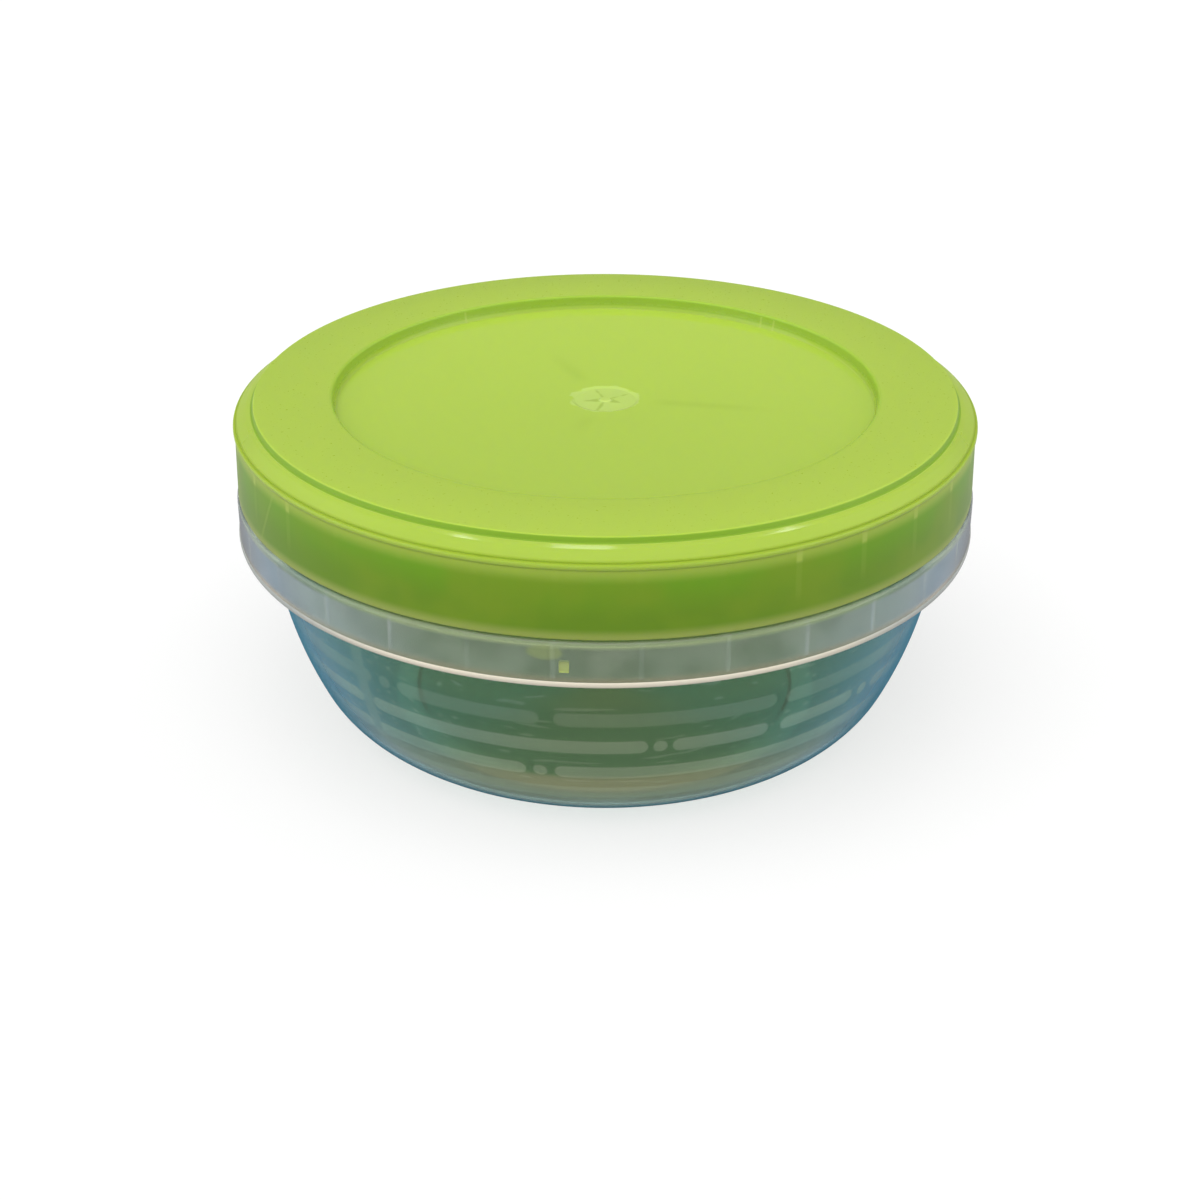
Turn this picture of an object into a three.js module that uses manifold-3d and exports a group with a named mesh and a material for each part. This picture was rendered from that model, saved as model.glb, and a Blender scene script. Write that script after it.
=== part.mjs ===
// A round food container of moulded plastic in two pieces: a clear bowl with a stiff collar round
// its shoulder, and a lime green lid that snaps over the bowl's neck.
// Millimetres, +Z up. The bowl stands on z = 0, centred on the Z axis.
import * as THREE from 'three';
import { mergeVertices } from 'three/addons/utils/BufferGeometryUtils.js';
import Module from 'manifold-3d';

const wasm = await Module();
wasm.setup();

const { degToRad } = THREE.MathUtils;
const quarterTurn = Math.PI / 2;

// How finely the round shapes are divided
const turnSegments = 64;
const cornerSteps = 6;
const wallSteps = 5;
const edgeSteps = 3;
const beadSteps = 4;

// Bowl: the outside is a flat base, a round corner and a wall that curves up to vertical
const baseRadius = 48.5;
const cornerRadius = 19.1;
const cornerSweep = degToRad(65);
const wallArcRadius = 90;
const wallThickness = 1.1;
const floorThickness = 1.3;
const footWidth = 5;
const footHeight = 0.8;
const footFlank = 0.8;

// Bowl: the straight neck above the curve, with a ridge that the lid snaps under
const neckLead = 4.75;
const neckHeight = 18.3;
const crownRound = 0.35;
const ridgeProud = 0.75;
const ridgeHeight = 1.6;
const ridgeDrop = 3.2;
const ridgeLeadIn = 1.5;
const ridgeUndercut = 0.4;

// Bowl: the collar, a flange that turns down round the shoulder, with ribs behind it
const collarReach = 6.25;
const collarThickness = 1.1;
const collarHeight = 9.6;
const collarEdgeRound = 1.0;
const collarBeadProud = 0.25;
const collarBeadHeight = 1.1;
const collarRibCount = 30;
const collarRibFirst = degToRad(5);
const collarRibThickness = 0.9;
const collarRibStop = 1.6;

// Bowl: a small square pad on the inside of the collar, near the front
const padWidth = 1.9;
const padHeight = 2.4;
const padProud = 0.5;
const padDrop = 5.3;
const padAzimuth = degToRad(-5.5);

// Lid: the raised ring on top, and the round recess that another container's foot stands in
const lidThickness = 1.2;
const recessDepth = 3.15;
const recessDraft = 0.5;
const recessEdgeRound = 0.6;

// Lid: the gate mark in the middle of the recess, a shallow dimple with a nub
const dimpleRadius = 7.4;
const dimpleDepth = 0.3;
const dimpleFlank = 0.8;
const nubRadius = 1.4;
const nubFlank = 0.3;
const nubHeight = 0.22;

// Lid: the small step outside the ring, the sloping shoulder, its groove and the round bead
const stepRun = 0.4;
const stepDrop = 1.1;
const stepEdge = 0.2;
const shoulderWidth = 3.5;
const shoulderSlope = degToRad(34.5);
const grooveWidth = 0.3;
const beadProud = 0.35;
const beadHeight = 1.3;

// Lid: the skirt that hides the neck, the ring that snaps on it and the ribs between the two
const skirtThickness = 1.2;
const skirtFlare = 0.4;
const skirtEdgeRound = 0.3;
const ringThickness = 1.0;
const ringHeight = 8.2;
const snapHeight = 1.6;
const snapProud = 0.7;
const skirtRibRoom = 1.7;
const skirtRibCount = 32;
const skirtRibFirst = degToRad(4.7);
const skirtRibThickness = 1.1;
const skirtRibHeight = 7.8;

// Lid: the lip that seals against the inside of the neck
const lipThickness = 1.0;
const lipHeight = 5.5;
const lipTaper = 0.35;

// Clearances between the lid and the bowl, and between a foot and the recess it stacks in
const seatGap = 0.3;
const lipGap = 0.25;
const snapGap = 0.2;
const stackGap = 0.4;

// How far a rib or a pad runs into the wall that it grows from
const rootDepth = 0.5;

// Places worked out from the sizes above
const cornerEndRadius = baseRadius + cornerRadius * Math.sin(cornerSweep);
const cornerEndZ = cornerRadius * (1 - Math.cos(cornerSweep));
const cornerEndAngle = cornerSweep - quarterTurn;
const wallArcCentreRadius = cornerEndRadius - wallArcRadius * Math.sin(cornerSweep);
const wallArcCentreZ = cornerEndZ + wallArcRadius * Math.cos(cornerSweep);
const neckRadius = wallArcCentreRadius + wallArcRadius;
const neckBore = neckRadius - wallThickness;
const collarTopZ = wallArcCentreZ + neckLead;
const collarBottomZ = collarTopZ - collarHeight;
const collarRadius = neckRadius + collarReach;
const collarBore = collarRadius - collarThickness;
const crownZ = collarTopZ + neckHeight;
const lidSeatZ = crownZ + seatGap;
const snapBore = neckRadius + ridgeProud + snapGap;
const ringBore = snapBore + snapProud;
const ringRadius = ringBore + ringThickness;
const skirtBore = ringRadius + skirtRibRoom;
const skirtRadius = skirtBore + skirtThickness;
const skirtBottomZ = collarTopZ + seatGap - lidSeatZ;
const footRadiusInRecess = baseRadius + Math.sqrt(cornerRadius ** 2 - (cornerRadius - recessDepth) ** 2);
const recessMouth = footRadiusInRecess + stackGap;
const stepFootRadius = skirtRadius - grooveWidth - shoulderWidth;
const stepFootZ = lidThickness - stepDrop;

// Radius of the bowl's outside at a height on the wall's curve, or above it
function bowlRadiusAt(z) {
  const rise = Math.min(z, wallArcCentreZ) - wallArcCentreZ;
  return wallArcCentreRadius + Math.sqrt(wallArcRadius ** 2 - rise ** 2);
}

// Height of the lid's shoulder at a radius, measured a depth below its outer surface
function shoulderZ(radius, depth) {
  const alongSlope = (radius - stepFootRadius) * Math.tan(shoulderSlope);
  return stepFootZ - alongSlope - depth / Math.cos(shoulderSlope);
}

// Points of an arc in the radius and height plane. An angle of 0 points outwards, 90 degrees up.
function arc(centreRadius, centreZ, radius, from, to, steps) {
  const points = [];
  for (let i = 0; i <= steps; i += 1) {
    const angle = from + (to - from) * (i / steps);
    points.push([centreRadius + radius * Math.cos(angle), centreZ + radius * Math.sin(angle)]);
  }
  return points;
}

// Points of a rounded bead that stands proud of an upright wall, from its lower to its upper end
function bead(radius, low, height, proud) {
  const half = height / 2;
  return arc(0, 0, 1, -quarterTurn, quarterTurn, beadSteps)
    .map(([out, up]) => [radius + out * proud, low + half + up * half]);
}

// Turns a three.js geometry into a solid that can be joined and cut
function solidOf(geometry) {
  const bare = geometry.clone();
  bare.deleteAttribute('normal');
  bare.deleteAttribute('uv');
  const merged = mergeVertices(bare, 1e-4);
  const index = merged.index.array;
  const triangles = [];
  for (let i = 0; i < index.length; i += 3) {
    const [a, b, c] = [index[i], index[i + 1], index[i + 2]];
    if (a !== b && b !== c && c !== a) triangles.push(a, b, c);
  }
  const mesh = new wasm.Mesh({
    numProp: 3,
    vertProperties: new Float32Array(merged.attributes.position.array),
    triVerts: new Uint32Array(triangles),
  });
  return new wasm.Manifold(mesh);
}

// Turns a joined solid back into a geometry
function geometryOf(solid) {
  const mesh = solid.getMesh();
  const geometry = new THREE.BufferGeometry();
  geometry.setAttribute('position', new THREE.BufferAttribute(mesh.vertProperties, 3));
  geometry.setIndex(new THREE.BufferAttribute(mesh.triVerts, 1));
  geometry.computeVertexNormals();
  return geometry;
}

// A body of revolution about Z, from an outline that goes up the outside and down the inside
function turned(outline) {
  const points = outline.map(([radius, z]) => new THREE.Vector2(radius, z));
  return solidOf(new THREE.LatheGeometry(points, turnSegments).rotateX(quarterTurn));
}

// A flat plate standing in a plane through the Z axis, at an azimuth counted from the front
function radialPlate(outline, thickness, azimuth) {
  const shape = new THREE.Shape(outline.map(([radius, z]) => new THREE.Vector2(radius, z)));
  const plate = new THREE.ExtrudeGeometry(shape, { depth: thickness, bevelEnabled: false });
  plate.translate(0, 0, -thickness / 2).rotateX(quarterTurn).rotateZ(azimuth - quarterTurn);
  return solidOf(plate);
}

// The same plate repeated all the way round
function platesRound(outline, thickness, first, count) {
  let ring = radialPlate(outline, thickness, first);
  for (let i = 1; i < count; i += 1) {
    ring = ring.add(radialPlate(outline, thickness, first + (i / count) * 2 * Math.PI));
  }
  return ring;
}

function bowlBody() {
  const footInner = baseRadius - footWidth;
  const cornerBore = cornerRadius - wallThickness;
  const ridgeTop = crownZ - ridgeDrop;
  const outline = [
    [0, footHeight],
    [footInner - footFlank, footHeight],
    [footInner, 0],
    // Outside, from the base up to the neck
    ...arc(baseRadius, cornerRadius, cornerRadius, -quarterTurn, cornerEndAngle, cornerSteps),
    ...arc(wallArcCentreRadius, wallArcCentreZ, wallArcRadius, cornerEndAngle, 0, wallSteps).slice(1),
    // The collar: under the flange, down the inside, round the bead and up the outside
    [neckRadius, collarTopZ - collarThickness],
    [collarBore, collarTopZ - collarThickness],
    [collarBore, collarBottomZ + collarBeadProud],
    [collarBore + collarBeadProud, collarBottomZ],
    ...bead(collarRadius, collarBottomZ, collarBeadHeight, collarBeadProud),
    ...arc(collarRadius - collarEdgeRound, collarTopZ - collarEdgeRound, collarEdgeRound,
      0, quarterTurn, edgeSteps),
    // The neck, its ridge and the rounded crown
    [neckRadius, collarTopZ],
    [neckRadius, ridgeTop - ridgeHeight - ridgeUndercut],
    [neckRadius + ridgeProud, ridgeTop - ridgeHeight],
    [neckRadius + ridgeProud, ridgeTop],
    [neckRadius, ridgeTop + ridgeLeadIn],
    [neckRadius, crownZ - crownRound],
    [neckRadius - crownRound, crownZ],
    [neckBore + crownRound, crownZ],
    [neckBore, crownZ - crownRound],
    // Inside, from the neck down to the floor
    ...arc(wallArcCentreRadius, wallArcCentreZ, wallArcRadius - wallThickness, 0, cornerEndAngle, wallSteps),
    ...arc(baseRadius, cornerRadius, cornerBore, cornerEndAngle, -quarterTurn, cornerSteps).slice(1),
    [footInner - footFlank, footHeight + floorThickness],
    [0, footHeight + floorThickness],
  ];
  return turned(outline);
}

function collarRibs() {
  const low = collarBottomZ + collarRibStop;
  const high = collarTopZ - collarThickness + rootDepth;
  const outer = collarBore + rootDepth;
  const outline = [
    [bowlRadiusAt(low) - rootDepth, low],
    [outer, low],
    [outer, high],
    [bowlRadiusAt(high) - rootDepth, high],
  ];
  return platesRound(outline, collarRibThickness, collarRibFirst, collarRibCount);
}

function collarPad() {
  const top = collarTopZ - padDrop + padHeight / 2;
  const outline = [
    [collarBore - padProud, top - padHeight],
    [collarBore + rootDepth, top - padHeight],
    [collarBore + rootDepth, top],
    [collarBore - padProud, top],
  ];
  return radialPlate(outline, padWidth, padAzimuth);
}

// The lid is drawn with z = 0 at the underside of its raised ring, where it rests on the neck
function lidShell() {
  const top = lidThickness;
  const floorTop = top - recessDepth;
  const floorUnder = floorTop - lidThickness;
  const wallTopRadius = recessMouth - recessEdgeRound;
  const floorRadius = wallTopRadius - recessDraft;
  const dimpleFloor = floorTop - dimpleDepth;
  const shoulderEnd = stepFootRadius + shoulderWidth;
  const shoulderEndZ = shoulderZ(shoulderEnd, 0);
  const beadTop = shoulderEndZ - grooveWidth;
  const beadBottom = beadTop - beadHeight;
  const skirtBottomRadius = skirtRadius + skirtFlare;
  const snapTop = -ridgeDrop - seatGap - ridgeHeight - snapGap;
  const lipRadius = neckBore - lipGap;
  const lipBore = lipRadius - lipThickness;
  const outline = [
    // Underside, from the middle of the recess out to the lip
    [0, floorUnder],
    [floorRadius + lidThickness, floorUnder],
    [wallTopRadius + lidThickness, 0],
    [lipBore, 0],
    [lipBore, lipTaper - lipHeight],
    [lipBore + lipTaper, -lipHeight],
    [lipRadius - lipTaper, -lipHeight],
    [lipRadius, lipTaper - lipHeight],
    [lipRadius, 0],
    // The ring that snaps on the neck
    [neckRadius, 0],
    [ringBore, shoulderZ(ringBore, lidThickness)],
    [ringBore, snapTop],
    [snapBore, snapTop - snapProud],
    [snapBore, snapTop - snapHeight],
    [ringBore, -ringHeight],
    [ringRadius, -ringHeight],
    [ringRadius, shoulderZ(ringRadius, lidThickness)],
    // Down the inside of the skirt, round its edge and up the outside
    [skirtBore, shoulderZ(skirtBore, lidThickness)],
    [skirtBottomRadius - skirtThickness, skirtBottomZ],
    [skirtBottomRadius - skirtEdgeRound, skirtBottomZ],
    [skirtBottomRadius, skirtBottomZ + skirtEdgeRound],
    // The bead, the groove above it, the shoulder and the step
    ...bead(skirtRadius, beadBottom, beadHeight, beadProud),
    [shoulderEnd, beadTop],
    [shoulderEnd, shoulderEndZ],
    [stepFootRadius, stepFootZ],
    [stepFootRadius - stepRun + stepEdge, top - stepEdge],
    [stepFootRadius - stepRun, top],
    // The raised ring, the round edge of the recess, its wall and its floor
    ...arc(recessMouth, top - recessEdgeRound, recessEdgeRound, quarterTurn, 2 * quarterTurn, edgeSteps),
    [floorRadius, floorTop],
    [dimpleRadius, floorTop],
    [dimpleRadius - dimpleFlank, dimpleFloor],
    [nubRadius, dimpleFloor],
    [nubRadius - nubFlank, dimpleFloor + nubHeight],
    [0, dimpleFloor + nubHeight],
  ];
  return turned(outline);
}

function skirtRibs() {
  const inner = ringRadius - rootDepth;
  const outer = skirtBore + rootDepth;
  const outline = [
    [inner, -ringHeight + ringThickness],
    [outer, -skirtRibHeight],
    [outer, shoulderZ(outer, lidThickness - rootDepth)],
    [inner, shoulderZ(inner, lidThickness - rootDepth)],
  ];
  return platesRound(outline, skirtRibThickness, skirtRibFirst, skirtRibCount);
}

function named(name, solid, look) {
  const mesh = new THREE.Mesh(geometryOf(solid), new THREE.MeshStandardMaterial(look));
  mesh.name = name;
  return mesh;
}

const bowl = named('bowl', bowlBody().add(collarRibs()).add(collarPad()), {
  color: 0xa6c3cc,
  roughness: 0.15,
  metalness: 0,
  transparent: true,
  opacity: 0.45,
});

const lid = named('lid', lidShell().add(skirtRibs()), {
  color: 0xb1cc57,
  roughness: 0.35,
  metalness: 0,
});
lid.position.z = lidSeatZ;

const container = new THREE.Group();
container.add(bowl, lid);

export default container;
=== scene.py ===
# %% [markdown]
# # A round food container with a snap lid
# The real container is two mouldings: a thin clear bowl with a stiff collar round its shoulder, and
# a lime green lid that snaps over the bowl's neck. Both are bodies of revolution with small ribs,
# so the whole lesson is about drawing a section, turning it, and finding the right plastics.
# The measured frame comes first, because every size below is worked out from it or set beside it.

# %% Load the measured frame
import math

import bpy
from mathutils import Matrix, Vector


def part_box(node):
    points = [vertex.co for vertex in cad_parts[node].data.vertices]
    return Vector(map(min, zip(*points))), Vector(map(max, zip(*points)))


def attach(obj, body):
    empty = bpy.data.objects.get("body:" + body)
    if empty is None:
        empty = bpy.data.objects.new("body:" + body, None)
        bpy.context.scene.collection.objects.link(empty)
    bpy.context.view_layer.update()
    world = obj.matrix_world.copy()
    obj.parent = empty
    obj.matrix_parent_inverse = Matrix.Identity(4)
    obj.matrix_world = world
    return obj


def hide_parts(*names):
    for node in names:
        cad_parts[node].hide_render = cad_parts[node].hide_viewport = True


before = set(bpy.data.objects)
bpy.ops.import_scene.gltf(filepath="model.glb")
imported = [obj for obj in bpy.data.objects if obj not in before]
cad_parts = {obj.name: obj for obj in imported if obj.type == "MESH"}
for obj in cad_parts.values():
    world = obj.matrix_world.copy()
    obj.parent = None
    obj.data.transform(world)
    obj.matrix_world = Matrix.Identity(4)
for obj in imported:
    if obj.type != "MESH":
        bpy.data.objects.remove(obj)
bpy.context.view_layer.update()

MM = 0.001
bowl_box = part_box("bowl")
lid_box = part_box("lid")

# %% [markdown]
# ## The camera
# A camera can be fitted to a photograph by matching the ellipses of round parts, such as the lid's
# edge and the bowl's foot. Written here is the result: a fairly long lens, about 45 cm away and
# looking 27.55 degrees down. It is made before the pieces, so that each can be compared at once.

# %% Camera
camera_data = bpy.data.cameras.new("camera")
camera_data.lens = 60.5
camera_data.sensor_width = 36.0
camera = bpy.data.objects.new("camera", camera_data)
bpy.context.scene.collection.objects.link(camera)
look_down = math.radians(27.55)
look_left = math.radians(0.15)
camera_roll = math.radians(0.09)
camera.matrix_world = (
    Matrix.Translation((0.0, -0.4095, 0.2346))
    @ Matrix.Rotation(look_left, 4, "Z")
    @ Matrix.Rotation(math.radians(90) - look_down, 4, "X")
    @ Matrix.Rotation(camera_roll, 4, "Z")
)
bpy.context.scene.camera = camera
bpy.context.scene.view_settings.view_transform = "Standard"
print("camera stands at", [round(v, 3) for v in camera.location])

# %% [markdown]
# ## Drawing a section
# A turned piece starts as half of its section, drawn in the plane of radius and height. By hand you
# would place one vertex and extrude it from corner to corner, so that is what `draw_section` does.
# Real mouldings have no sharp corners. A corner written with a third number gets an arc of that
# radius, which is quicker to change than a bevel and keeps every edge where it was drawn.

# %% Section helpers
def deselect_all():
    if bpy.context.object and bpy.context.object.mode != "OBJECT":
        bpy.ops.object.mode_set(mode="OBJECT")
    bpy.ops.object.select_all(action="DESELECT")


def arc(centre, radius, start, end, steps):
    """Points of an arc. An angle of 0 points outwards and 90 degrees points up."""
    angles = [math.radians(start + (end - start) * i / steps) for i in range(steps + 1)]
    return [(centre[0] + radius * math.cos(a), centre[1] + radius * math.sin(a)) for a in angles]


CORNER_STEPS = 4


def rounded(corners):
    """Gives each corner written as (radius, height, rounding) a round of that radius."""
    points = []
    for i, corner in enumerate(corners):
        here = Vector(corner[:2])
        if len(corner) == 2:
            points.append(here)
            continue
        to_last = (Vector(corners[i - 1][:2]) - here).normalized()
        to_next = (Vector(corners[i + 1][:2]) - here).normalized()
        half = to_last.angle(to_next) / 2
        centre = here + (to_last + to_next).normalized() * corner[2] / math.sin(half)
        first = (here + to_last * corner[2] / math.tan(half) - centre).normalized()
        last = (here + to_next * corner[2] / math.tan(half) - centre).normalized()
        for k in range(CORNER_STEPS + 1):
            points.append(centre + first.slerp(last, k / CORNER_STEPS) * corner[2])
    return points


def draw_section(name, points):
    """One vertex, extruded along the section's points, which are in millimetres."""
    deselect_all()
    places = [Vector((p[0], 0, p[1])) * MM for p in points]
    bpy.ops.mesh.primitive_plane_add(size=MM, location=places[0])
    section = bpy.context.object
    section.name = section.data.name = name
    bpy.ops.object.transform_apply(location=True, rotation=True, scale=True)
    bpy.ops.object.mode_set(mode="EDIT")
    bpy.ops.mesh.select_all(action="SELECT")
    bpy.ops.mesh.merge(type="CENTER")
    for here, there in zip(places, places[1:]):
        bpy.ops.mesh.extrude_region_move(TRANSFORM_OT_translate={"value": there - here})
    bpy.ops.object.mode_set(mode="OBJECT")
    return section


TURN_STEPS = 192
DOUBLES = 0.002 * MM


def turn(section):
    """Spins a section once round the Z axis and closes it on the axis."""
    bpy.context.view_layer.objects.active = section
    bpy.ops.object.mode_set(mode="EDIT")
    bpy.ops.mesh.select_all(action="SELECT")
    bpy.ops.mesh.spin(steps=TURN_STEPS, angle=2 * math.pi, center=(0, 0, 0), axis=(0, 0, 1))
    bpy.ops.mesh.select_all(action="SELECT")
    bpy.ops.mesh.remove_doubles(threshold=DOUBLES)
    bpy.ops.mesh.normals_make_consistent(inside=False)
    bpy.ops.object.mode_set(mode="OBJECT")
    print(section.name, "is turned from", len(section.data.vertices), "vertices")
    return section


# %% [markdown]
# ## The bowl's section
# The outside is a flat base, a round corner, and one long curve that ends upright at the collar.
# The walls are an even 1.1 mm, so the inside follows the same two centres with smaller radii.
# Height and reach are read from the frame. The rest are the sizes that a mould maker would set.

# %% Bowl sizes, in millimetres
crown = bowl_box[1].z / MM
collar_reach = bowl_box[1].x / MM
wall = 1.1
base_radius = 48.5
corner_radius, corner_sweep = 19.1, 65
wall_curve = 90
neck_height, collar_height = 18.3, 9.6
corner_end = corner_sweep - 90
corner_centre = (base_radius, corner_radius)
wall_foot = arc(corner_centre, corner_radius, corner_end, corner_end, 1)[0]
wall_centre = (
    wall_foot[0] - wall_curve * math.cos(math.radians(corner_end)),
    wall_foot[1] - wall_curve * math.sin(math.radians(corner_end)),
)
neck = wall_centre[0] + wall_curve
neck_bore = neck - wall
rim_proud, rim_height = 0.25, 1.1
collar = collar_reach - rim_proud
collar_bore = collar - wall
collar_top = crown - neck_height
collar_low = collar_top - collar_height
print("neck radius", round(neck, 2), "collar from", round(collar_low, 2), "to", round(collar_top, 2))

# %% [markdown]
# The foot is a flat ring with a shallow hollow inside it, which stops the base from rocking.
# The collar's lower edge ends in a small rounded rim. It stiffens the edge, and in clear plastic
# it gathers light and shows as a bright line. The ridge on the neck is what the lid snaps under.

# %% Draw and turn the bowl
foot_inner, foot_rise, floor_wall = 43.5, 0.8, 1.3
ridge_drop, ridge_height, ridge_proud, ridge_undercut, ridge_lead_in = 3.2, 1.6, 0.75, 0.4, 1.5
ridge_top = crown - ridge_drop
ridge_low = ridge_top - ridge_height
rim_middle = collar_low + rim_height / 2
rim_curve = [
    (collar + rim_proud * math.cos(a), rim_middle + rim_height / 2 * math.sin(a))
    for a in [math.radians(-90 + 180 * i / 8) for i in range(9)]
]
bowl_section = rounded([
    (0, foot_rise), (foot_inner - foot_rise, foot_rise, 0.5), (foot_inner, 0, 0.3),
    *arc(corner_centre, corner_radius, -90, corner_end, 16),
    *arc(wall_centre, wall_curve, corner_end, 0, 20)[1:],
    (neck, collar_top - wall, 0.4), (collar_bore, collar_top - wall, 0.5),
    (collar_bore, collar_low + rim_proud), (collar_bore + rim_proud, collar_low), *rim_curve,
    (collar, collar_top, 1.0), (neck, collar_top, 0.4),
    (neck, ridge_low - ridge_undercut, 0.2), (neck + ridge_proud, ridge_low, 0.2),
    (neck + ridge_proud, ridge_top, 0.3), (neck, ridge_top + ridge_lead_in, 0.5),
    (neck, crown, 0.4), (neck_bore, crown, 0.4),
    *arc(wall_centre, wall_curve - wall, 0, corner_end, 20),
    *arc(corner_centre, corner_radius - wall, corner_end, -90, 16)[1:],
    (foot_inner - foot_rise, foot_rise + floor_wall, 0.5), (0, foot_rise + floor_wall),
])
bowl = turn(draw_section("clear_bowl", bowl_section))

# %% [markdown]
# ## Ribs behind the collar
# Thirty thin ribs join the collar to the wall. Each is a box that runs a little into both walls,
# modelled once and copied round the axis, each copy with its own mesh. They are joined into the
# bowl's mesh as they are. A union would open the clear walls at each rib, and light caught in
# the rib would then draw a dark line, where the real ribs hardly show. The pad is united, so that
# bowl and pad are one skin.

# %% Rib helpers
def box_piece(name, low, high):
    """A box from its lowest to its highest corner, in millimetres, with its place in its mesh."""
    deselect_all()
    low, high = Vector(low) * MM, Vector(high) * MM
    bpy.ops.mesh.primitive_cube_add(size=1, location=(low + high) / 2)
    piece = bpy.context.object
    piece.name = piece.data.name = name
    piece.scale = high - low
    bpy.ops.object.transform_apply(location=True, rotation=True, scale=True)
    return piece


def turned_about_axis(piece, angle):
    piece.data.transform(Matrix.Rotation(angle, 4, "Z"))
    return piece


def copies_round(piece, count, first):
    """Puts copies of a piece that lies on the X axis all the way round, and joins them."""
    ring = []
    for i in range(count):
        copy = piece.copy()
        copy.data = piece.data.copy()
        bpy.context.scene.collection.objects.link(copy)
        ring.append(turned_about_axis(copy, first + 2 * math.pi * i / count))
    bpy.data.objects.remove(piece)
    deselect_all()
    for copy in ring:
        copy.select_set(True)
    bpy.context.view_layer.objects.active = ring[0]
    bpy.ops.object.join()
    return bpy.context.object


def union(body, tool):
    """Joins a tool into a body as one closed skin, and removes the tool."""
    deselect_all()
    joined = body.modifiers.new("union", "BOOLEAN")
    joined.operation, joined.solver, joined.object = "UNION", "EXACT", tool
    bpy.context.view_layer.objects.active = body
    bpy.ops.object.modifier_apply(modifier=joined.name)
    bpy.data.objects.remove(tool)
    print(body.name, "has", len(body.data.polygons), "faces after the union")


def join_into(body, extra):
    """Joins a piece into a body's mesh as it is, and gives the numbers of its faces there."""
    first = len(body.data.polygons)
    deselect_all()
    body.select_set(True)
    extra.select_set(True)
    bpy.context.view_layer.objects.active = body
    bpy.ops.object.join()
    print(body.name, "has", len(body.data.polygons), "faces after the join")
    return range(first, len(body.data.polygons))


print("rib helpers are ready")

# %% Collar ribs and the small square pad
FRONT = math.radians(-90)
collar_rib_count, collar_rib_first = 30, 5.0
rib_low, rib_thick, root = collar_low + 1.6, 0.9, 0.5
pad_azimuth, pad_width, pad_height, pad_proud = -5.5, 1.9, 2.4, 0.5
pad_middle = collar_top - 5.7
pad = box_piece("pad", (collar_bore - pad_proud, -pad_width / 2, pad_middle - pad_height / 2),
                (collar_bore + root, pad_width / 2, pad_middle + pad_height / 2))
union(bowl, turned_about_axis(pad, FRONT + math.radians(pad_azimuth)))
rib = box_piece("rib", (neck - root, -rib_thick / 2, rib_low),
                (collar_bore + root, rib_thick / 2, collar_top - root))
collar_ribs = copies_round(rib, collar_rib_count, FRONT + math.radians(collar_rib_first))
rib_faces = join_into(bowl, collar_ribs)

# %% [markdown]
# ## The lid's section
# The lid is a raised ring with a round recess that another container's foot can stand in. Outside
# the ring come a small step, a sloping shoulder, a fine groove, a round bead and the skirt.
# Under it hang a lip that seals inside the neck and a ring that snaps over the ridge outside.

# %% Lid sizes, in millimetres
land = lid_box[1].z / MM
skirt_low = lid_box[0].z / MM
top_wall, recess_depth, recess_edge, recess_draft = 1.2, 3.15, 0.6, 0.5
seat = land - top_wall
recess_floor = land - recess_depth
foot_in_recess = base_radius + math.sqrt(corner_radius**2 - (corner_radius - recess_depth) ** 2)
foot_clearance = 0.4
recess_mouth = foot_in_recess + foot_clearance
recess_foot = recess_mouth - recess_edge - recess_draft
snap_gap, snap_proud, ring_wall = 0.2, 0.7, 1.0
ring_bore = neck + ridge_proud + snap_gap + snap_proud
ring_radius = ring_bore + ring_wall
skirt_rib_reach, skirt_wall = 1.7, 1.2
skirt = ring_radius + skirt_rib_reach + skirt_wall
shoulder_width, step_drop, groove_depth, groove_height = 3.5, 1.1, 0.3, 0.3
shoulder_end = skirt - groove_depth
step_foot = (shoulder_end - shoulder_width, land - step_drop)
shoulder_slope = math.tan(math.radians(34.5))
shoulder_low = step_foot[1] - shoulder_width * shoulder_slope
bead_top, bead_proud, bead_height = shoulder_low - groove_height, 0.35, 1.3
print("recess mouth", round(recess_mouth, 2), "skirt radius", round(skirt, 2))


def under_shoulder(radius):
    """Height of the shoulder's underside, one wall below its slope."""
    slope_height = step_foot[1] - (radius - step_foot[0]) * shoulder_slope
    return slope_height - top_wall / math.cos(math.atan(shoulder_slope))


# %% [markdown]
# The gate mark in the middle of the recess is where the plastic entered the mould: a shallow
# dimple with a small nub. Its depth is only 0.3 mm, but the light finds it, so it is real geometry.

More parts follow.
